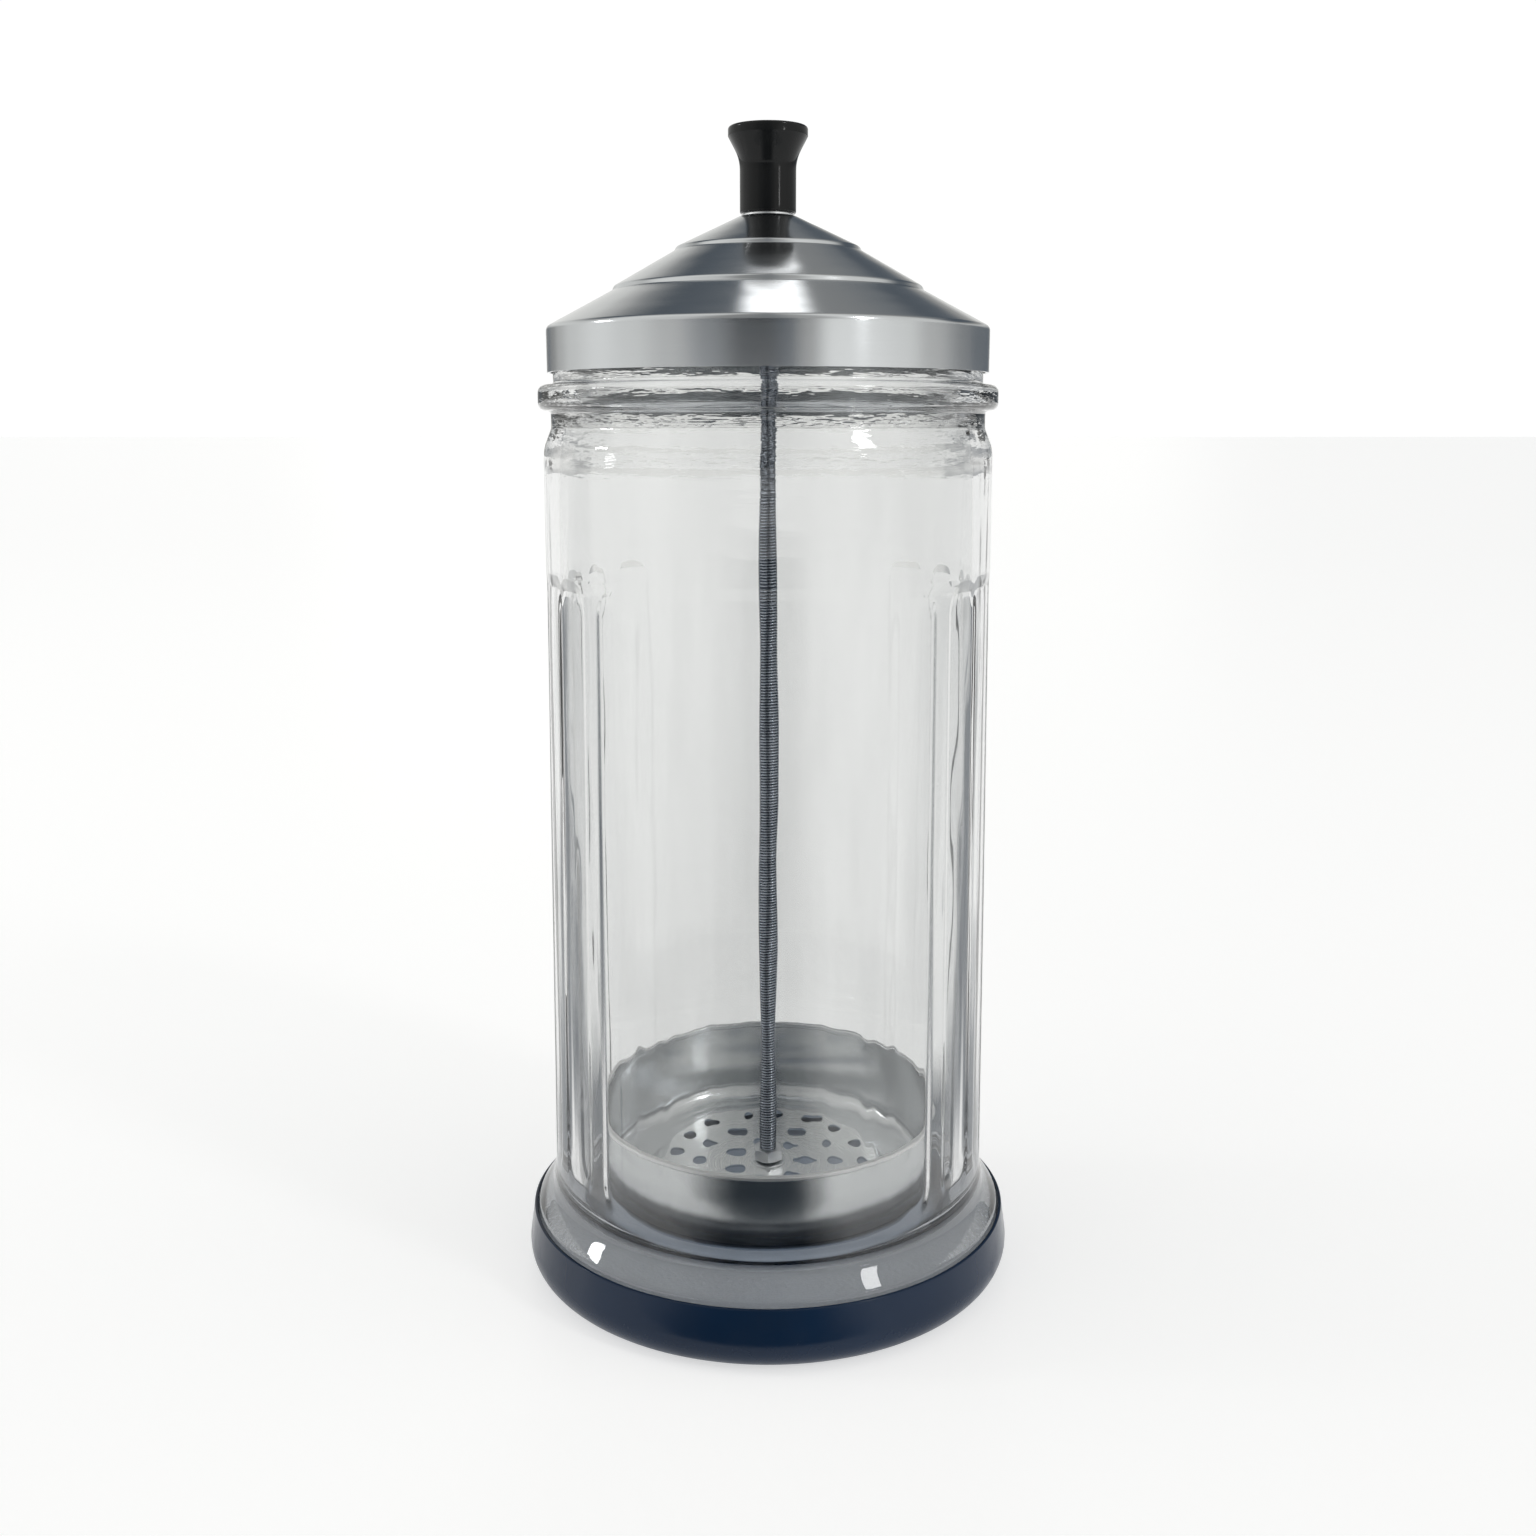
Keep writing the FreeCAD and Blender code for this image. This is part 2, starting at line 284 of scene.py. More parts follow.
# ---- node helpers ------------------------------------------------------------------------------------
def tone(value):
    """A grey of the room: neutral in the lights and bluish in the darks."""
    dark = max(0.0, min(1.0, (0.34 - value) / 0.30)) ** 1.6
    return value * (1 - 0.25 * dark), value, value * (0.97 + 0.33 * dark)


class Nodes:
    """Short calls for building one node tree."""

    def __init__(self, tree):
        self.tree = tree
        tree.nodes.clear()

    def add(self, kind, **settings):
        node = self.tree.nodes.new(kind)
        for key, value in settings.items():
            setattr(node, key, value)
        return node

    def link(self, a, b):
        self.tree.links.new(a, b)

    def put(self, socket, value):
        if isinstance(value, bpy.types.NodeSocket):
            self.link(value, socket)
        else:
            socket.default_value = value

    def math(self, operation, a, b=0.0):
        node = self.add("ShaderNodeMath", operation=operation)
        self.put(node.inputs[0], a)
        self.put(node.inputs[1], b)
        return node.outputs[0]

    def between(self, value, low, high, to_low=0.0, to_high=1.0):
        """A soft step from one value to another as the input passes from low to high."""
        node = self.add("ShaderNodeMapRange", interpolation_type="SMOOTHSTEP")
        for socket, v in zip(node.inputs[:5], (value, low, high, to_low, to_high)):
            self.put(socket, v)
        return node.outputs[0]

    def noise(self, vector, scale, detail=3.0, roughness=0.5):
        node = self.add("ShaderNodeTexNoise")
        self.put(node.inputs["Vector"], vector)
        self.put(node.inputs["Scale"], scale)
        self.put(node.inputs["Detail"], detail)
        self.put(node.inputs["Roughness"], roughness)
        return node.outputs["Fac"]

    def ramp(self, factor, stops):
        """A colour ramp through (position, grey or colour) stops."""
        node = self.add("ShaderNodeValToRGB")
        node.color_ramp.interpolation = "EASE"
        elements = node.color_ramp.elements
        while len(elements) < len(stops):
            elements.new(0.5)
        for element, (position, colour) in zip(elements, stops):
            element.position = position
            element.color = (*(colour if isinstance(colour, tuple) else tone(colour)), 1.0)
        self.put(node.inputs["Fac"], factor)
        return node.outputs["Color"]

    def blend(self, factor, a, b):
        node = self.add("ShaderNodeMix", data_type="RGBA")
        for name, value in (("Factor", factor), ("A", a), ("B", b)):
            self.put(node.inputs[name], value)
        return node.outputs["Result"]

    def combine(self, x, y, z):
        node = self.add("ShaderNodeCombineXYZ")
        for socket, v in zip(node.inputs, (x, y, z)):
            self.put(socket, v)
        return node.outputs[0]

    def separate(self, vector):
        node = self.add("ShaderNodeSeparateXYZ")
        self.put(node.inputs[0], vector)
        return node.outputs

    def bump(self, height, strength, distance):
        node = self.add("ShaderNodeBump")
        self.put(node.inputs["Strength"], strength)
        self.put(node.inputs["Distance"], distance)
        self.put(node.inputs["Height"], height)
        return node.outputs[0]


def material(name, **sockets):
    """A new material with one Principled shader: constants go straight on its sockets."""
    mat = bpy.data.materials.new(name)
    mat.use_nodes = True
    n = Nodes(mat.node_tree)
    shader = n.add("ShaderNodeBsdfPrincipled")
    out = n.add("ShaderNodeOutputMaterial")
    n.link(shader.outputs[0], out.inputs["Surface"])
    for key, value in sockets.items():
        shader.inputs[key.replace("_", " ")].default_value = value
    place = n.add("ShaderNodeTexCoord").outputs["Object"]
    return mat, n, shader, place


def from_axis(n, x, y):
    """Distance from the Z axis."""
    return n.math("SQRT", n.math("ADD", n.math("MULTIPLY", x, x), n.math("MULTIPLY", y, y)))


def turned_vector(n, place, around, along):
    """Texture space of a turned surface: slow round the axis, fast along its profile, with no seam."""
    x, y, z = n.separate(place)
    r = n.math("MAXIMUM", from_axis(n, x, y), 1e-5)
    profile = n.math("MULTIPLY", n.math("ADD", n.math("MULTIPLY", r, RADIAL_SHARE), z), along)
    return n.combine(n.math("MULTIPLY", n.math("DIVIDE", x, r), around),
                     n.math("MULTIPLY", n.math("DIVIDE", y, r), around), profile)


def scaled(n, place, across, along):
    """Texture space stretched differently across and along the Z axis."""
    x, y, z = n.separate(place)
    return n.combine(n.math("MULTIPLY", x, across), n.math("MULTIPLY", y, across),
                     n.math("MULTIPLY", z, along))


# ---- materials ---------------------------------------------------------------------------------------
RADIAL_SHARE = 0.83
GLASS_IOR = 1.5
GLASS_DIM = (0.805, 0.811, 0.809)
GLASS_BRIGHT = (0.872, 0.877, 0.875)
NECK_RIPPLE_LOW = 190.0
NECK_RIPPLE_FULL = 208.0
NECK_RIPPLE = 0.60
BOOT_RUB_HIGH = 12.0
BOOT_RUB_LOW = 1.0
VINYL_DARK = (0.004, 0.016, 0.042)
VINYL_LIGHT = (0.007, 0.023, 0.058)
# the root colour is painted shade in the thread's grooves
THREAD_ROOT_SHADE = (0.05, 0.06, 0.08)
THREAD_CREST = (0.42, 0.45, 0.50)


def glass_material():
    """Clear pressed glass: waves drawn down its wall, level ripples in its neck, and an uneven faint grey."""
    mat, n, shader, place = material("pressed_glass", Roughness=0.0, IOR=GLASS_IOR, Transmission_Weight=1.0)
    _, _, z = n.separate(place)
    drawn = scaled(n, place, across=1.0, along=0.16)
    waves = n.noise(drawn, scale=70.0, detail=2.0)
    ripples = n.noise(scaled(n, place, across=0.3, along=1.6), scale=240.0)
    cloud = n.noise(drawn, scale=34.0, detail=4.0, roughness=0.6)
    n.link(n.ramp(cloud, [(0.36, GLASS_DIM), (0.62, GLASS_BRIGHT)]), shader.inputs["Base Color"])
    in_neck = n.between(z, NECK_RIPPLE_LOW * MM, NECK_RIPPLE_FULL * MM)
    ripples = n.math("MULTIPLY", n.math("MULTIPLY", ripples, in_neck), NECK_RIPPLE)
    n.link(n.bump(n.math("ADD", waves, ripples), strength=0.30, distance=0.0009), shader.inputs["Normal"])
    return mat


def stippled_glass(name, base):
    """Pressed glass with a fine stipple, and a grey base colour that is painted shade: together they turn the
    view through the foot grey.
    """
    mat, n, shader, place = material(name, Base_Color=base, Roughness=0.6, IOR=GLASS_IOR,
                                     Transmission_Weight=1.0)
    stipple = n.noise(place, scale=900.0, detail=2.0)
    n.link(n.bump(stipple, strength=0.4, distance=0.0004), shader.inputs["Normal"])
    return mat


def spun_metal(name, base, roughness, aniso, around=0.9, along=5200.0, tint=0.06, grain=0.08, relief=0.06):
    """Metal brushed round its axis: fine rings in colour, roughness and bump."""
    mat, n, shader, place = material(name, Metallic=1.0, Anisotropic=aniso, Anisotropic_Rotation=0.25)
    fine = n.noise(turned_vector(n, place, around, along), scale=1.0, roughness=0.65)
    broad = n.noise(turned_vector(n, place, around * 2.2, along * 0.035), scale=1.0, detail=2.0)
    smudge = n.noise(place, scale=34.0, detail=4.0, roughness=0.6)
    shade = n.math("ADD", n.math("MULTIPLY", fine, tint), n.math("MULTIPLY", broad, tint * 0.8))
    shade = n.math("SUBTRACT", n.math("ADD", shade, 1.0), tint * 0.9)
    colour = n.add("ShaderNodeVectorMath", operation="SCALE")
    colour.inputs[0].default_value = base
    n.link(shade, colour.inputs["Scale"])
    n.link(colour.outputs[0], shader.inputs["Base Color"])
    rough = n.math("ADD", n.math("MULTIPLY", fine, grain), n.math("MULTIPLY", smudge, grain * 0.8))
    n.link(n.math("ADD", rough, roughness - grain * 0.9), shader.inputs["Roughness"])
    n.link(n.bump(fine, strength=relief, distance=0.00003), shader.inputs["Normal"])
    tangent = n.add("ShaderNodeTangent", direction_type="RADIAL", axis="Z")
    n.link(tangent.outputs[0], shader.inputs["Tangent"])
    return mat


def gloss_plastic(name, base, roughness, ior=1.48):
    """Moulded gloss plastic with a faint orange peel and rubbed patches."""
    mat, n, shader, place = material(name, IOR=ior)
    rub = n.noise(place, scale=120.0, detail=5.0, roughness=0.62)
    cloud = n.noise(place, scale=26.0, detail=2.0)
    peel = n.noise(place, scale=900.0, detail=1.0)
    n.link(n.ramp(cloud, [(0.3, tuple(c * 0.86 for c in base)), (0.7, tuple(c * 1.14 for c in base))]),
           shader.inputs["Base Color"])
    n.link(n.between(rub, 0.35, 0.75, roughness * 0.7, roughness * 1.5), shader.inputs["Roughness"])
    n.link(n.bump(peel, strength=0.05, distance=0.00008), shader.inputs["Normal"])
    return mat


def vinyl_material():
    """Deep blue soft vinyl, glossy, slightly wavy, and duller low on its wall where it is rubbed."""
    mat, n, shader, place = material("blue_vinyl", IOR=1.45, Specular_IOR_Level=0.32)
    _, _, z = n.separate(place)
    cloud = n.noise(place, scale=22.0)
    n.link(n.ramp(cloud, [(0.25, VINYL_DARK), (0.75, VINYL_LIGHT)]), shader.inputs["Base Color"])
    rub = n.noise(place, scale=160.0, detail=6.0, roughness=0.65)
    worn = n.between(z, BOOT_RUB_HIGH * MM, BOOT_RUB_LOW * MM, 0.0, 0.16)
    n.link(n.math("ADD", n.between(rub, 0.4, 0.75, 0.13, 0.26), worn), shader.inputs["Roughness"])
    swell = n.noise(place, scale=55.0, detail=2.0)
    grain = n.noise(place, scale=900.0, detail=1.0)
    height = n.math("ADD", swell, n.math("MULTIPLY", grain, 0.06))
    n.link(n.bump(height, strength=0.18, distance=0.0006), shader.inputs["Normal"])
    return mat


def rod_material():
    """Plated threaded steel: painted shade darkens the thread's grooves, and the crests keep the brighter
    steel.
    """
    mat, n, shader, place = material("rod_steel", Metallic=1.0)
    x, y, _ = n.separate(place)
    # painted shade: the nearer the groove's root, the darker
    crest = n.between(from_axis(n, x, y), (ROD_R - 0.32) * MM, (ROD_R - 0.02) * MM)
    grime = n.noise(place, scale=300.0, detail=4.0, roughness=0.6)
    shade = n.math("MULTIPLY", crest, n.between(grime, 0.3, 0.7, 0.75, 1.0))
    n.link(n.ramp(shade, [(0.0, THREAD_ROOT_SHADE), (1.0, THREAD_CREST)]), shader.inputs["Base Color"])
    n.link(n.between(grime, 0.3, 0.7, 0.12, 0.22), shader.inputs["Roughness"])
    n.link(n.bump(grime, strength=0.1, distance=0.00005), shader.inputs["Normal"])
    return mat


# painted shade: the grey-blue tint under the foot stands for the shade beneath the jar
FOOT_GLASS_PAINTED_SHADE = stippled_glass("stippled_foot_glass_painted_shade", (0.56, 0.60, 0.64, 1))
# painted shade: the darker bluish tint on the cavity floor stands for the shade in the cavity
CAVITY_GLASS_PAINTED_SHADE = stippled_glass("stippled_cavity_glass_painted_shade", (0.32, 0.38, 0.48, 1))
# painted light: the floor's metal is paler than the pan's wall so that the dim inside of the jar looks lit;
# its higher roughness is the real satin finish
PAN_FLOOR_PAINTED_LIGHT_METAL = spun_metal("pan_satin_painted_light_metal", (0.95, 0.96, 0.96), roughness=0.27, aniso=0.0,
                             tint=0.03, grain=0.03, relief=0.015)
# painted highlight: the hem's near-white metal draws the bright line round the rim; its higher roughness is
# real
PAN_HEM_PAINTED_HIGHLIGHT_METAL = spun_metal("pan_hem_painted_highlight_metal", (0.98, 0.98, 0.98), roughness=0.48, aniso=0.0,
                           tint=0.02, grain=0.03, relief=0.01)
# painted shade: darker bluish steel for the pan's lower outer corner, not a metal of its own
PAN_CORNER_PAINTED_SHADE_METAL = spun_metal("pan_corner_painted_shade_metal", (0.34, 0.38, 0.44), roughness=0.22, aniso=0.3,
                              tint=0.05, grain=0.04, relief=0.015)
MATERIALS = {
    "clear_glass": glass_material(),
    "brushed_lid": spun_metal("spun_lid_metal", (0.66, 0.68, 0.70), roughness=0.15, aniso=0.5,
                              around=0.35, along=7000.0, tint=0.04, grain=0.04, relief=0.02),
    "pan_metal": spun_metal("drawn_pan_metal", (0.70, 0.715, 0.725), roughness=0.16, aniso=0.3,
                            around=0.3, along=5000.0, tint=0.03, grain=0.03, relief=0.015),
    "bright_metal": spun_metal("bright_plated_metal", (0.90, 0.91, 0.92), roughness=0.34, aniso=0.2,
                               along=9000.0, tint=0.04),
    "brass": spun_metal("turned_brass", (0.78, 0.57, 0.25), roughness=0.25, aniso=0.4),
    "black_plastic": gloss_plastic("black_gloss_plastic", (0.0105, 0.0112, 0.0118), roughness=0.10, ior=1.30),
    "white_nylon": gloss_plastic("white_nylon", (0.78, 0.78, 0.75), roughness=0.38),
    "navy_vinyl": vinyl_material(),
    "rod_steel": rod_material(),
}


# ---- glass jar ---------------------------------------------------------------------------------------
PANELS = 19
PANEL_HALF = 7.0
PANEL_LOW = 28.0
PANEL_HIGH = 175.5
PANEL_TURN = math.radians(-0.5)
# worn soft in front and behind, crisp at the sides
PANEL_DEPTH = (0.07, 0.30)
PANEL_FLANK = (3.0, 1.7)
ARCH_FADE = (11.0, 3.0)
SIDE_START = 0.52
SIDE_RUN = 0.2
POINTS_PER_PANEL = 44
WAVE_FROM_R = 20.0
STIPPLE_R = 57.0
STIPPLE_RISE = 2.6
CAVITY_RISE = 4.0


def smooth(t):
    """A soft step from 0 to 1."""
    t = max(0.0, min(1.0, t))
    return t * t * (3 - 2 * t)


def between_pair(pair, share):
    """The value that share of the way from the first of a pair to the second."""
    return pair[0] + (pair[1] - pair[0]) * share


def wave(angle, round_turn, shift):
    """A slow random wave round the axis, the same on every run."""
    return noise.noise(Vector((math.sin(angle) * round_turn, math.cos(angle) * round_turn, shift)))


def panel_sink(z, angle):
    """How far the arched panels sink below the wall here."""
    pitch = 2 * math.pi / PANELS
    off = (angle - PANEL_TURN + pitch / 2) % pitch - pitch / 2
    across = BODY_R_LOW * off
    beyond = max(PANEL_LOW + PANEL_HALF - z, z - (PANEL_HIGH - PANEL_HALF), 0.0)
    inside = PANEL_HALF - math.hypot(across, beyond)
    crisp = smooth((abs(math.sin(angle)) - SIDE_START) / SIDE_RUN)
    flank = smooth(inside / between_pair(PANEL_FLANK, crisp))
    end = smooth(min(z - PANEL_LOW, PANEL_HIGH - z) / between_pair(ARCH_FADE, crisp))
    return between_pair(PANEL_DEPTH, crisp) * flank * end


def glass_outline():
    """Half of the jar's section, from the middle of its underside round its outside to its cavity's floor."""
    plain_r = BODY_R_HIGH + PLAIN_STEP
    return rounded([
        (0, FOOT_LOW + FOOT_RECESS_DEPTH), (FOOT_RECESS_R, FOOT_LOW + FOOT_RECESS_DEPTH, 2.0),
        (FOOT_RECESS_R + FOOT_RECESS_RUN, FOOT_LOW, 1.0), (FOOT_R, FOOT_LOW, FOOT_CORNER),
        (FOOT_R, FOOT_TOP, 2.4), (BODY_R_LOW + FLARE_MIDDLE_OUT, FLARE_MIDDLE, 4.0),
        (BODY_R_LOW, FLARE_TOP, 8.0), (BODY_R_HIGH, LEDGE_LOW, 3.0), (plain_r, LEDGE_HIGH, 3.0),
        (plain_r - PLAIN_TAPER, SHOULDER, 10.0), (GROOVE_R, GROOVE_LOW, 2.4),
        (GROOVE_R, BEAD_LOW, 0.8), (BEAD_R, BEAD_LOW, BEAD_ROUND), (BEAD_R, BEAD_HIGH, BEAD_ROUND),
        (NECK_R, BEAD_HIGH, 0.8), (NECK_R, RIM_HIGH, RIM_ROUND), (MOUTH_R, RIM_HIGH, RIM_ROUND),
        (MOUTH_R, MOUTH_LOW, MOUTH_BLEND), (CAVITY_R, CAVITY_SHOULDER, MOUTH_BLEND),
        (CAVITY_R, CAVITY_FLOOR, CAVITY_CORNER), (0, CAVITY_FLOOR)], step=7.0)


def glass_jar():
    """The jar turned from its outline: sunk panels outside, stipple under its foot and on its floor."""
    points = divided(glass_outline(), longest=1.3)
    inner_from = max(i for i, p in enumerate(points) if p[1] > RIM_HIGH - 0.01)

    def shape(r, z, angle, i):
        outside = i < inner_from
        if outside and PANEL_LOW < z < PANEL_HIGH:
            r -= panel_sink(z, angle)
        if r > WAVE_FROM_R:
            r += GLASS_WAVE * wave(angle, 1.6, z * 0.02 + (7.0 if outside else 31.0))
        return r, z

    verts, faces = lathe(points, PANELS * POINTS_PER_PANEL, shape=shape)
    jar = add_mesh("glass_jar_clear", verts, faces, MATERIALS["clear_glass"], "jar",
                   ["glass_jar"], sharp=60.0, weighted=False)
    # the stippled faces take tinted glass whose grey is painted shade
    jar.data.materials.append(FOOT_GLASS_PAINTED_SHADE)
    jar.data.materials.append(CAVITY_GLASS_PAINTED_SHADE)
    for face in jar.data.polygons:
        across = math.hypot(*face.center[:2])
        under = face.center.z < (FOOT_LOW + STIPPLE_RISE) * MM and across < STIPPLE_R * MM
        within = face.center.z < (CAVITY_FLOOR + CAVITY_RISE) * MM and across < (CAVITY_R + 0.2) * MM
        if under or within:
            face.material_index = 1 if under else 2
    return jar


# ---- boot --------------------------------------------------------------------------------------------
def boot():
    """The soft ring round the foot, very slightly wavy."""
    inner_r = FOOT_R + BOOT_GAP
    corners = [
        (BOOT_OPEN_R, 0, BOOT_EDGE), (BOOT_R, 0, BOOT_CORNER), (BOOT_R, BOOT_WIDEST, BOOT_BULGE),
        (BOOT_LIP_R, BOOT_HIGH, 0.35), (BOOT_LIP_R - BOOT_LIP_WALL, BOOT_HIGH, 0.3),
        (inner_r, BOOT_HIGH - BOOT_LIP_DEPTH), (inner_r, BOOT_FLANGE, FOOT_CORNER - BOOT_GAP),
        (BOOT_OPEN_R, BOOT_FLANGE, BOOT_EDGE)]

    def shape(r, z, angle, i):
        if z > BOOT_WAVE_FROM_Z and r > BOOT_WAVE_FROM_R:
            z += BOOT_WAVE * wave(angle, 2.2, 3.0)
        return r, z

    outline = divided(rounded(corners, closed=True, step=6.0), longest=1.6, closed=True)
    verts, faces = lathe(outline, segments=288, closed=True, shape=shape)
    return add_mesh("base_boot_vinyl", verts, faces, MATERIALS["navy_vinyl"], "jar",
                    ["base_boot"])


# ---- lid ---------------------------------------------------------------------------------------------
def lid():
    """One thin sheet: two steps between cone stages, above a straight skirt."""
    corners = [
        (SKIRT_R, SKIRT_LOW), (SKIRT_R, SKIRT_HIGH, 1.4), (STAGE_2_R, STAGE_2_HIGH, 0.3),
        (STAGE_2_R - STEP_RUN, STAGE_2_HIGH + STEP_2_RISE, 1.1), (STAGE_1_R, STAGE_1_HIGH, 0.3),
        (STAGE_1_R - STEP_RUN, STAGE_1_HIGH + STEP_1_RISE, 1.1), (CREST_R, LID_TOP, CREST_ROUND),
        (LID_HOLE_R, LID_TOP)]
    outline = rounded(sheet_profile(corners, SHEET), closed=True, step=8.0)

    def shape(r, z, angle, i):
        return r, z + LID_WAVE * wave(angle, 3.1, r * 0.35)

    verts, faces = lathe(divided(outline, longest=1.2, closed=True), segments=288, closed=True, shape=shape)
    return add_mesh("lid_spun", verts, faces, MATERIALS["brushed_lid"], "lid", ["lid_shell"])


# ---- knob, its washer and rod ------------------------------------------------------------------------
def knob():
    """A stem that widens to a flat cap, hollow for its insert and the rod."""
    outline = rounded([
        (ROD_R + KNOB_MOUTH_GAP, KNOB_LOW), (KNOB_STEM_R, KNOB_LOW, 0.4), (KNOB_STEM_R, KNOB_WAIST, 9.0),
        (KNOB_R, KNOB_CAP_LOW, 0.25), (KNOB_R, KNOB_HIGH - KNOB_CROWN, 0.7), (0, KNOB_HIGH),
        (0, KNOB_BORE_HIGH), (KNOB_BORE_R, KNOB_BORE_HIGH), (KNOB_BORE_R, KNOB_BORE_LOW),
        (ROD_R + KNOB_MOUTH_GAP, KNOB_BORE_LOW)], closed=True, step=6.0)
    start = next(i for i, p in enumerate(outline) if p[0] < 1e-6)
    ordered = outline[start + 1:] + outline[:start + 1]
    verts, faces = lathe(divided(ordered, longest=0.8), segments=128)
    return add_mesh("knob_gloss", verts, faces, MATERIALS["black_plastic"], "stem", ["knob"])


def knob_washer():
    """The thin washer between knob and lid."""
    inner = ROD_R + WASHER_GAP
    outline = rounded([(inner, WASHER_LOW), (WASHER_R, WASHER_LOW, WASHER_EDGE),
                       (WASHER_R, WASHER_HIGH, WASHER_EDGE), (inner, WASHER_HIGH)], closed=True)
    verts, faces = lathe(divided(outline, longest=0.5, closed=True), segments=96, closed=True)
    return add_mesh("knob_washer_bright", verts, faces, MATERIALS["bright_metal"], "stem",
                    ["knob_washer"])


def rod():
    """The rod with its thread cut as a helix."""
    rows_per_turn = 6
    length = ROD_HIGH - ROD_LOW
    rows = int(length / THREAD_PITCH * rows_per_turn)
    side = [(ROD_R, ROD_LOW + length * i / rows) for i in range(rows + 1)]
    points = [(0, ROD_LOW), *side, (0, ROD_HIGH)]

    def shape(r, z, angle, i):
        turn = (z / THREAD_PITCH - angle / (2 * math.pi)) % 1.0
        groove = THREAD_DEPTH * (0.5 + 0.5 * math.cos(2 * math.pi * turn))
        end = min(z - ROD_LOW, ROD_HIGH - z, ROD_CHAMFER)
        return r - groove - (ROD_CHAMFER - end), z

    verts, faces = lathe(points, segments=24, shape=shape)
    return add_mesh("lift_rod_threaded", verts, faces, MATERIALS["rod_steel"], "stem",
                    ["lift_rod"], sharp=80.0, weighted=False)


# ---- basket ------------------------------------------------------------------------------------------
def circle_spline(curve, cx, cy, radius, points):
    """Adds one circle to a flat curve."""
    spline = curve.splines.new("POLY")
    spline.points.add(points - 1)
    for i, p in enumerate(spline.points):
        angle = 2 * math.pi * i / points
        p.co = ((cx + radius * math.sin(angle)) * MM, (cy - radius * math.cos(angle)) * MM, 0, 1)
    spline.use_cyclic_u = True


def perforated_floor(segments):
    """The pan's flat middle as vertices and faces: a plate with every hole cut through and no outer edge."""
    curve = bpy.data.curves.new("pan_floor", "CURVE")
    curve.dimensions = "2D"
    curve.fill_mode = "BOTH"
    curve.extrude = PAN_SHEET / 2 * MM
    circle_spline(curve, 0, 0, FLOOR_R, segments)
    circle_spline(curve, 0, 0, PAN_BORE_R, 32)
    for ring_r, count in HOLE_RINGS:
        for i in range(count):
            angle = 2 * math.pi * i / count
            circle_spline(curve, ring_r * math.cos(angle), ring_r * math.sin(angle), HOLE_R, 20)
    obj = bpy.data.objects.new("pan_floor", curve)
    mesh = bpy.data.meshes.new_from_object(obj)
    middle = (FLOOR_HIGH - PAN_SHEET / 2) * MM
    near_rim = FLOOR_R * MM * 0.998
    verts = [(v.co.x, v.co.y, v.co.z + middle) for v in mesh.vertices]
    faces = []
    for p in mesh.polygons:
        at_rim = all(math.hypot(*mesh.vertices[i].co[:2]) > near_rim for i in p.vertices)
        if not (at_rim and abs(p.normal.z) < 0.5):
            faces.append(tuple(p.vertices))
    bpy.data.objects.remove(obj)
    return verts, faces


def leaned(vert):
    """A vertex of the pan, which leans on the rod about the middle of its floor."""
    pivot = (FLOOR_HIGH - PAN_SHEET / 2) * MM
    x, y, z = vert
    z -= pivot
    return (x, y * math.cos(PAN_LEAN) - z * math.sin(PAN_LEAN),
            pivot + y * math.sin(PAN_LEAN) + z * math.cos(PAN_LEAN))


def basket():
    """The drawn pan with its hemmed rim and the perforated plate in its middle."""
    segments = 256
    wall_r = PAN_R - PAN_HEM
    inner_r = wall_r - PAN_SHEET
    fold_r = PAN_R - PAN_HEM_FOLD
    under = FLOOR_HIGH - PAN_SHEET
    profile = [
        (FLOOR_R, under), (PAN_RAISED_R, under, 0.6), (PAN_TROUGH_R, PAN_LOW, 1.2),
        (wall_r, PAN_LOW, PAN_CORNER), (wall_r, PAN_HIGH - 1.2, 0.15), (PAN_R, PAN_HIGH - 0.9, 0.15),
        (PAN_R, PAN_HIGH, 0.4), (fold_r, PAN_HIGH, 0.4), (fold_r, PAN_HIGH - 1.1, 0.2),
        (inner_r, PAN_HIGH - 1.4, 0.2), (inner_r, PAN_LOW + PAN_SHEET, PAN_CORNER - 0.8),
        (PAN_TROUGH_R + 0.35, PAN_LOW + PAN_SHEET, 0.6), (PAN_RAISED_R + 0.4, FLOOR_HIGH, 1.3),
        (FLOOR_R, FLOOR_HIGH)]
    wall, wall_faces = lathe(divided(rounded(profile, step=8.0), longest=1.2), segments)
    plate, plate_faces = perforated_floor(segments)
    shift = len(wall)
    verts = [leaned(v) for v in wall + plate]
    faces = wall_faces + [tuple(i + shift for i in f) for f in plate_faces]
    obj = add_mesh("basket_pan", verts, faces, MATERIALS["pan_metal"], "stem", ["basket"])
    finish_pan(obj)
    return obj


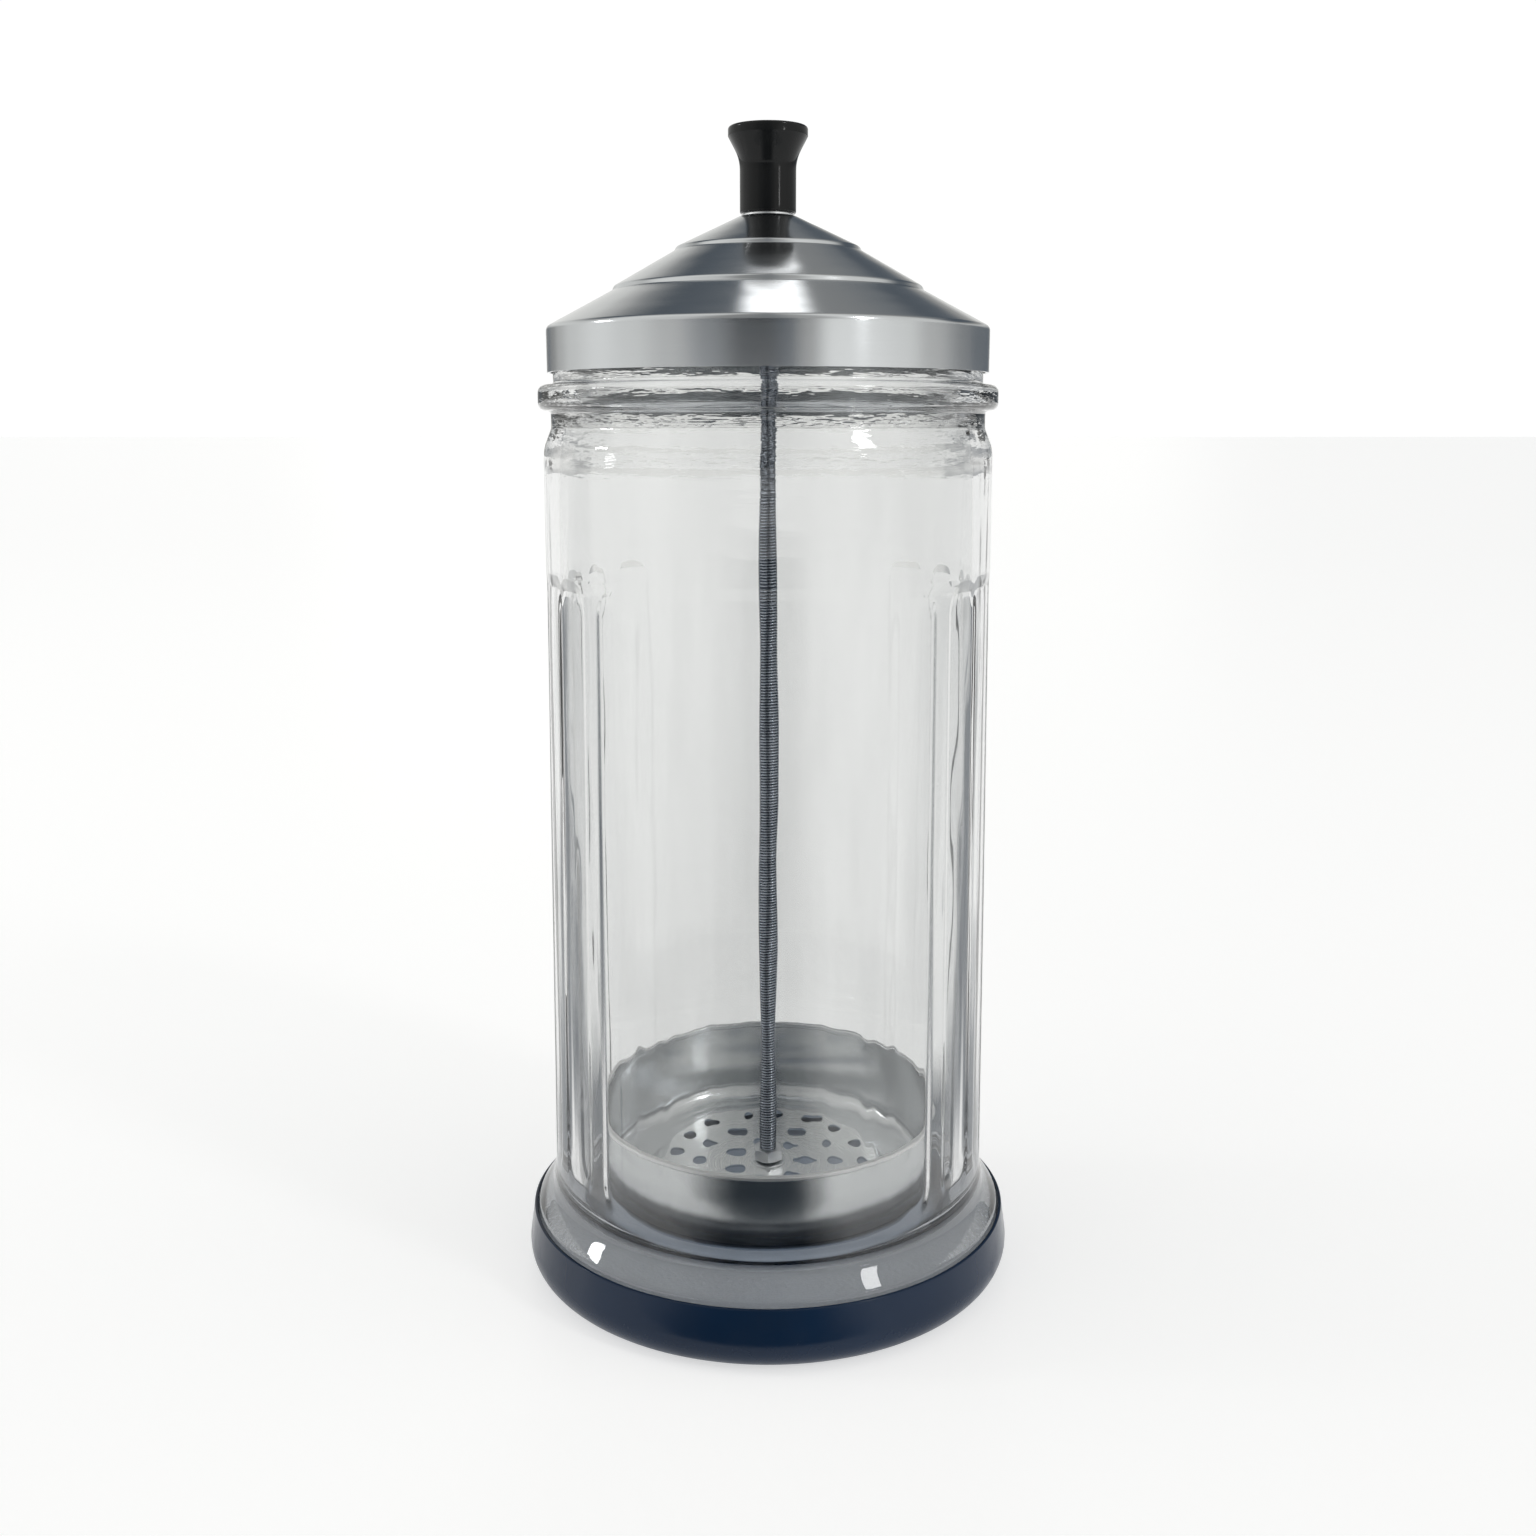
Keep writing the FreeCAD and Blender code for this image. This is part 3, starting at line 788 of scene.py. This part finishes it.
def finish_pan(obj):
    """Brighter satin metal on the perforated floor, as painted light, and on the hem, as a painted highlight;
    darker metal round the lower outer corner, as painted shade.
    """
    for metal in (PAN_FLOOR_PAINTED_LIGHT_METAL, PAN_CORNER_PAINTED_SHADE_METAL, PAN_HEM_PAINTED_HIGHLIGHT_METAL):
        obj.data.materials.append(metal)
    for face in obj.data.polygons:
        x, y, z = (v / MM for v in face.center)
        level = z - y * math.sin(PAN_LEAN)
        across = math.hypot(x, y)
        outward = (x * face.normal.x + y * face.normal.y) / across
        # the hem gets the painted highlight, and the plate the painted light
        hem = across > PAN_R - HEM_BAND and level > PAN_HIGH - HEM_DEPTH
        plate = across < FLOOR_R + 0.1 and face.normal.z > 0.5
        # the outer faces low on the corner take the painted shade
        corner = (across > FLOOR_R + PAINTED_SHADE_INSET and outward > -0.05 and face.normal.z < 0.3
                  and level < PAN_LOW + PAINTED_SHADE_RISE)
        if hem:
            face.material_index = 3
        elif plate:
            face.material_index = 1
        elif corner:
            face.material_index = 2


# ---- carried-over CAD nodes --------------------------------------------------------------------------
def dress_cad_nodes():
    """The small pieces keep the shapes that the CAD gave them and get the looks of their materials."""
    shown = {"lid_bush": "white_nylon", "knob_insert": "brass"}
    for node in ("lid_washer", "lid_nut", "lid_lock_nut", "basket_top_washer", "basket_top_nut",
                 "basket_bottom_washer", "basket_bottom_nut"):
        shown[node] = "bright_metal"
    for node, slot in shown.items():
        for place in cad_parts[node].material_slots:
            place.material = MATERIALS[slot]


# ---- stage, light and camera (metres) ----------------------------------------------------------------
FLOOR_REACH = 30.0
FLOOR_GREY = 0.62
FLOOR_GLOW = 0.585


def stage_piece(name, verts, faces, mat):
    """A mesh of the stage, which isn't part of the object."""
    mesh = bpy.data.meshes.new(name)
    mesh.from_pydata(verts, [], faces)
    mesh.materials.append(mat)
    obj = bpy.data.objects.new(name, mesh)
    bpy.context.collection.objects.link(obj)
    return obj


def floor():
    """A white floor, partly glowing, so that it stays as pale as the backdrop."""
    mat, _, _, _ = material(
        "stage_floor", Base_Color=(FLOOR_GREY, FLOOR_GREY, FLOOR_GREY, 1), Roughness=0.35,
        Specular_IOR_Level=0.12, Emission_Color=(1, 1, 1, 1), Emission_Strength=FLOOR_GLOW)
    e = FLOOR_REACH
    stage_piece("stage_floor", [(-e, -e, 0), (e, -e, 0), (e, e, 0), (-e, e, 0)], [(0, 1, 2, 3)], mat)


def screen(name, verts, faces, cover, shade, reflected=True):
    """A dim screen that only reflections and refractions see. cover(n, x, y) says how solid it is where."""
    mat = bpy.data.materials.new(name)
    mat.use_nodes = True
    mat.cycles.emission_sampling = "NONE"
    n = Nodes(mat.node_tree)
    x, y, _ = n.separate(n.add("ShaderNodeTexCoord").outputs["Object"])
    glow = n.add("ShaderNodeEmission")
    glow.inputs["Color"].default_value = (*tone(shade), 1.0)
    choose = n.add("ShaderNodeMixShader")
    n.link(cover(n, x, y), choose.inputs[0])
    n.link(n.add("ShaderNodeBsdfTransparent").outputs[0], choose.inputs[1])
    n.link(glow.outputs[0], choose.inputs[2])
    n.link(choose.outputs[0], n.add("ShaderNodeOutputMaterial").inputs["Surface"])
    obj = stage_piece(name, verts, faces, mat)
    obj.visible_camera = False
    obj.visible_diffuse = False
    obj.visible_shadow = False
    obj.visible_glossy = reflected


# how far round from behind the fan appears and fades again, and where it starts and ends from the axis
SIDE_FADE_IN = (math.radians(33), math.radians(44))
SIDE_FADE_OUT = (math.radians(82), math.radians(64))
FAN_REACH = (0.068, 1.6)
FAN_HEIGHT = 0.003
FAN_PARTS = 32
# the strip's half-width and distance at its near and far end
STRIP_NEAR = (0.12, 0.072)
STRIP_FAR = (1.8, 2.6)
STRIP_HEIGHT = 0.002
STRIP_EDGE_LEFT = (-0.62, -0.16)
STRIP_EDGE_RIGHT = (0.44, 0.14)


def front_cover(n, x, y):
    """Solid near the middle line, fading out to both sides; the fade widens with distance."""
    ahead = n.math("SUBTRACT", 0.0, y)
    aside = n.math("DIVIDE", x, n.math("ADD", ahead, 0.05))
    return n.math("MULTIPLY", n.between(aside, *STRIP_EDGE_LEFT), n.between(aside, *STRIP_EDGE_RIGHT))


def side_cover(n, x, y):
    """Clear straight behind the jar, growing solid to the side, and clear again in front."""
    turn = n.math("ARCTAN2", n.math("ABSOLUTE", x), y)
    return n.math("MULTIPLY", n.between(turn, *SIDE_FADE_IN), n.between(turn, *SIDE_FADE_OUT))


def screens():
    """Dark strips lying on the floor: one in front of the jar, and a fan on either side for its ribs."""
    ring = []
    for i in range(FAN_PARTS + 1):
        angle = 2 * math.pi * i / FAN_PARTS
        ring.extend((r * math.sin(angle), r * math.cos(angle), FAN_HEIGHT) for r in FAN_REACH)
    faces = [(2 * i, 2 * i + 2, 2 * i + 3, 2 * i + 1) for i in range(FAN_PARTS)]
    screen("stage_screen_side", ring, faces, side_cover, 0.12, reflected=False)
    far_x, far_y = STRIP_FAR
    near_x, near_y = STRIP_NEAR
    strip = [(-far_x, -far_y, STRIP_HEIGHT), (far_x, -far_y, STRIP_HEIGHT), (near_x, -near_y, STRIP_HEIGHT),
             (-near_x, -near_y, STRIP_HEIGHT)]
    screen("stage_screen_front", strip, [(0, 1, 2, 3)], front_cover, 0.035)


# the room as (position, brightness) stops; the turn runs from the front round the left, back and right
ROOM_LOW = [
    (0.0, 0.015), (0.03, 0.02), (0.08, 0.22), (0.14, 0.52), (0.20, 0.74), (0.27, 0.85), (0.33, 0.70),
    (0.37, 0.50), (0.40, 0.30), (0.43, 0.20), (0.452, 0.26), (0.466, 0.88), (0.50, 0.95), (0.534, 0.88),
    (0.548, 0.22), (0.570, 0.15), (0.60, 0.17), (0.63, 0.17), (0.67, 0.24), (0.75, 0.52), (0.80, 0.80),
    (0.86, 0.92), (0.91, 0.95), (0.945, 0.36), (0.975, 0.08), (1.0, 0.015)]
ROOM_HIGH = [
    (0.0, 0.25), (0.06, 0.32), (0.14, 0.70), (0.25, 0.85), (0.36, 0.6), (0.44, 0.3), (0.56, 0.3), (0.64, 0.5),
    (0.75, 0.75), (0.86, 0.85), (0.94, 0.45), (1.0, 0.25)]
# behind the jar, from the floor's level to straight up
BACK_LEFT = [
    (0.0, 0.95), (0.20, 0.80), (0.42, 0.72), (0.52, 0.52), (0.60, 0.26), (0.68, 0.09), (0.75, 0.12),
    (0.84, 0.24), (1.0, 0.35)]
BACK_RIGHT = [
    (0.0, 0.95), (0.20, 0.70), (0.31, 0.34), (0.42, 0.13), (0.54, 0.11), (0.64, 0.21), (0.74, 0.27),
    (0.84, 0.30), (1.0, 0.35)]
# where one part of the room gives way to the next
LEFT_TO_RIGHT = (-0.05, 0.05)
FRONT_TO_BACK = (0.2, 0.5)
LOW_TO_HIGH = (0.05, 0.25)
CEILING_LAMP = (0.015, 0.632, 0.775)
CEILING_EDGE = (0.9956, 0.9990)
CEILING_GLOW = (2.6, 2.6, 2.57, 1.0)
GLASS_LIFT = 0.28
BACKDROP = (1.02, 1.02, 1.02, 1)


def studio_world():
    """White behind the jar, grey at the sides, dim above and in front: the room that the metal reflects.

    The camera itself sees a plain pale backdrop, and rays through glass see the room a little paler.
    """
    world = bpy.data.worlds.new("studio")
    bpy.context.scene.world = world
    world.use_nodes = True
    n = Nodes(world.node_tree)
    x, y, z = n.separate(n.add("ShaderNodeTexCoord").outputs["Generated"])
    turn = n.math("ADD", n.math("DIVIDE", n.math("ARCTAN2", x, y), 2 * math.pi), 0.5)
    back = n.blend(n.between(x, *LEFT_TO_RIGHT), n.ramp(z, BACK_LEFT), n.ramp(z, BACK_RIGHT))
    sky = n.blend(n.between(y, *FRONT_TO_BACK), n.ramp(turn, ROOM_HIGH), back)
    room = n.blend(n.between(z, *LOW_TO_HIGH), n.ramp(turn, ROOM_LOW), sky)
    lamp = Vector(CEILING_LAMP).normalized()
    facing = n.math("ADD", n.math("MULTIPLY", x, lamp.x), n.math("MULTIPLY", y, lamp.y))
    facing = n.math("ADD", facing, n.math("MULTIPLY", z, lamp.z))
    room = n.blend(n.between(facing, *CEILING_EDGE), room, CEILING_GLOW)
    paths = n.add("ShaderNodeLightPath")
    through = n.math("MULTIPLY", paths.outputs["Is Transmission Ray"], GLASS_LIFT)
    room = n.blend(through, room, (1.0, 1.0, 1.0, 1.0))
    lit = n.add("ShaderNodeBackground")
    n.link(room, lit.inputs["Color"])
    seen = n.add("ShaderNodeBackground")
    seen.inputs["Color"].default_value = BACKDROP
    choose = n.add("ShaderNodeMixShader")
    n.link(paths.outputs["Is Camera Ray"], choose.inputs[0])
    n.link(lit.outputs[0], choose.inputs[1])
    n.link(seen.outputs[0], choose.inputs[2])
    n.link(choose.outputs[0], n.add("ShaderNodeOutputWorld").inputs["Surface"])


def softbox(name, direction, distance, size, power, target):
    """A rectangular light that faces a target from a direction."""
    light = bpy.data.lights.new(name, "AREA")
    light.shape = "RECTANGLE"
    light.size, light.size_y = size
    light.energy = power
    obj = bpy.data.objects.new(name, light)
    place = Vector(target) + Vector(direction).normalized() * distance
    obj.location = place
    obj.rotation_euler = (Vector(target) - place).to_track_quat("-Z", "Y").to_euler()
    obj.visible_camera = False
    bpy.context.collection.objects.link(obj)


def lights():
    """A window on either side, and a small light level with the knob for the thin highlight down it."""
    middle = (0, 0, 0.15)
    softbox("window_left", (-0.948, 0.044, 0.317), distance=2.4, size=(0.34, 0.16), power=4.0, target=middle)
    softbox("window_right", (0.65, -0.49, 0.57), distance=2.4, size=(0.26, 0.50), power=5.0, target=middle)
    softbox("knob_highlight", (0.73, -0.68, 0.139), distance=1.5, size=(0.12, 0.06), power=0.2,
            target=(0, 0, 0.262))


CAMERA_PLACE = (0, -0.3893, 0.20935)
CAMERA_DOWN = math.radians(11.95)
CAMERA_LENS = 37.97
CAMERA_SENSOR = 36.0
CAMERA_NEAR = 0.01


def camera():
    """Level with the jar's neck, looking down a little."""
    data = bpy.data.cameras.new("camera")
    data.sensor_width = CAMERA_SENSOR
    data.lens = CAMERA_LENS
    data.clip_start = CAMERA_NEAR
    obj = bpy.data.objects.new("camera", data)
    obj.location = CAMERA_PLACE
    obj.rotation_euler = (math.pi / 2 - CAMERA_DOWN, 0, 0)
    bpy.context.collection.objects.link(obj)
    bpy.context.scene.camera = obj


def render_settings():
    """Plain colours and enough bounces for thick glass."""
    scene = bpy.context.scene
    scene.view_settings.view_transform = "Standard"
    scene.cycles.max_bounces = 24
    scene.cycles.transmission_bounces = 20
    scene.cycles.glossy_bounces = 8
    scene.cycles.sample_clamp_indirect = 6.0


glass_jar()
boot()
lid()
knob()
knob_washer()
rod()
basket()
dress_cad_nodes()
floor()
screens()
studio_world()
lights()
camera()
render_settings()
